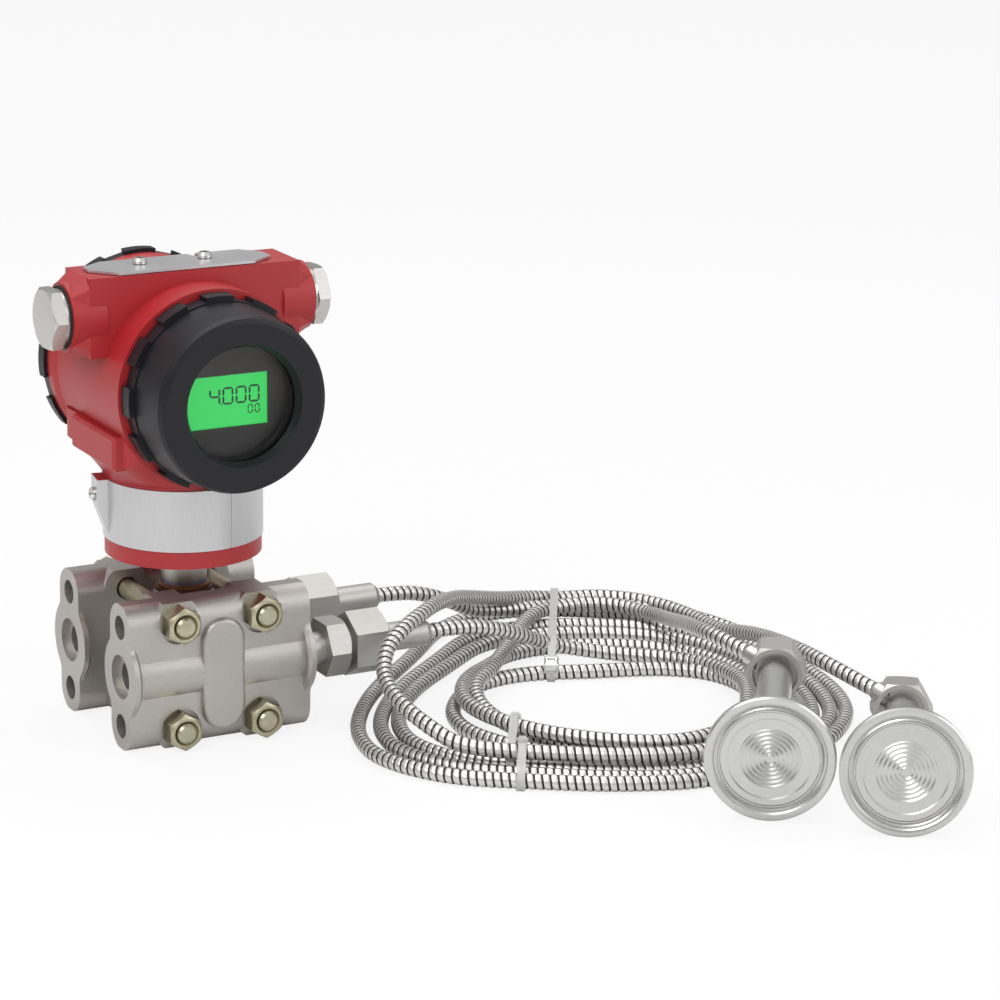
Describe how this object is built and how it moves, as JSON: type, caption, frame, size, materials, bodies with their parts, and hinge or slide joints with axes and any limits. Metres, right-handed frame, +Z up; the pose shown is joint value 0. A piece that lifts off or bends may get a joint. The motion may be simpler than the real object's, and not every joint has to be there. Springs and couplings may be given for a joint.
{
  "type": "differential pressure transmitter with remote seals",
  "caption": "Differential pressure transmitter with turning display housing, two process flanges and two clamp-type remote seals on coiled armoured capillary hoses.",
  "frame": {"origin": "centre of the manifold bolt pattern on the left end faces of the two process flanges, level with the process ports", "axes": "+Z up along the neck, -Y out of the display, +X from the manifold face towards the hose adapters"},
  "size_m": [0.3255, 0.3392, 0.1942],
  "materials": {
    "red_paint": "satin",
    "cast_steel": "satin",
    "machined_steel": "satin",
    "polished_steel": "polished",
    "zinc_plate": "satin",
    "plug_steel": "polished",
    "black_paint": "satin",
    "clear_glass": "polished",
    "lcd": "glossy",
    "bezel_plastic": "matte",
    "circuit_board": "satin",
    "terminal_plastic": "matte",
    "screw_steel": "polished",
    "brass_post": "satin",
    "rubber_seal": "matte",
    "fibre_gasket": "matte",
    "label_steel": "satin",
    "button_plastic": "matte",
    "hose_armour": "satin",
    "tie_plastic": "matte"
  },
  "bodies": {
    "root": {"flange_front": "cast_steel", "flange_rear": "cast_steel", "flange_gasket_front": "fibre_gasket", "flange_gasket_rear": "fibre_gasket", "flange_bolts": "zinc_plate", "flange_nuts": "zinc_plate", "sensor_module": "machined_steel", "isolating_diaphragms": "polished_steel", "neck_tube": "polished_steel", "neck_seal": "rubber_seal", "adapter_front": "machined_steel", "adapter_rear": "machined_steel", "union_nut_front": "machined_steel", "union_nut_rear": "machined_steel", "capillary_stub_front": "machined_steel", "capillary_stub_rear": "machined_steel", "seal_body_left": "polished_steel", "seal_body_right": "polished_steel", "seal_diaphragm_left": "polished_steel", "seal_diaphragm_right": "polished_steel", "seal_hex_left": "machined_steel", "seal_hex_right": "machined_steel", "capillary_ferrule_left": "polished_steel", "capillary_ferrule_right": "polished_steel", "fill_plugs": "machined_steel", "hose_coil": "hose_armour", "hose_lead_front": "hose_armour", "hose_lead_rear": "hose_armour", "hose_loop": "hose_armour", "hose_tail_left": "hose_armour", "hose_tail_right": "hose_armour", "cable_tie_back": "tie_plastic", "cable_tie_inner": "tie_plastic", "cable_tie_outer": "tie_plastic"},
    "housing": {"housing_casting": "red_paint", "conduit_plug_left": "plug_steel", "conduit_plug_right": "plug_steel", "conduit_seals": "rubber_seal", "display_bezel": "bezel_plastic", "lcd_panel": "lcd", "display_board": "circuit_board", "electronics_board": "circuit_board", "board_posts": "brass_post", "terminal_block": "terminal_plastic", "terminal_screws": "screw_steel", "nameplate_band": "label_steel", "nameplate_screw": "screw_steel", "rotation_set_screw": "screw_steel", "ground_screw": "screw_steel", "tag_plate_screws": "screw_steel"},
    "front_seal": {"front_cover_oring": "rubber_seal"},
    "front_cover": {"front_cover": "black_paint", "window_glass": "clear_glass", "window_retainer": "black_paint"},
    "rear_seal": {"rear_cover_oring": "rubber_seal"},
    "rear_cover": {"rear_cover": "black_paint"},
    "tag_plate": {"tag_plate": "label_steel"},
    "span_button": {"span_button": "button_plastic"},
    "zero_button": {"zero_button": "button_plastic"}
  },
  "joints": [
    {"name": "housing_turn", "type": "hinge", "parent": "root", "child": "housing", "pos_m": [0.0395, 0, 0.048], "axis": [0, 0, 1], "range_deg": [-180, 180]},
    {"name": "front_cover_travel", "type": "slide", "parent": "housing", "child": "front_seal", "axis": [0, -1, 0], "range_m": [0, 0.01]},
    {"name": "front_cover_turn", "type": "hinge", "parent": "front_seal", "child": "front_cover", "pos_m": [0.0395, -0.04, 0.1148], "axis": [0, -1, 0], "range_deg": [0, 1800]},
    {"name": "rear_cover_travel", "type": "slide", "parent": "housing", "child": "rear_seal", "axis": [0, 1, 0], "range_m": [0, 0.01]},
    {"name": "rear_cover_turn", "type": "hinge", "parent": "rear_seal", "child": "rear_cover", "pos_m": [0.0395, 0.045, 0.1148], "axis": [0, 1, 0], "range_deg": [0, 1800]},
    {"name": "tag_plate_swing", "type": "hinge", "parent": "housing", "child": "tag_plate", "pos_m": [0.0215, -0.001, 0.1608], "axis": [0, 0, -1], "range_deg": [0, 90]},
    {"name": "span_button_press", "type": "slide", "parent": "housing", "child": "span_button", "axis": [0, 0, -1], "range_m": [0, 0.0015], "stiffness_N_per_m": 200, "springref_m": -0.002},
    {"name": "zero_button_press", "type": "slide", "parent": "housing", "child": "zero_button", "axis": [0, 0, -1], "range_m": [0, 0.0015], "stiffness_N_per_m": 200, "springref_m": -0.002}
  ],
  "couplings": [
    {"joint": "front_cover_travel", "follows": "front_cover_turn", "m_per_rad": 0.000318},
    {"joint": "rear_cover_travel", "follows": "rear_cover_turn", "m_per_rad": 0.000318}
  ]
}
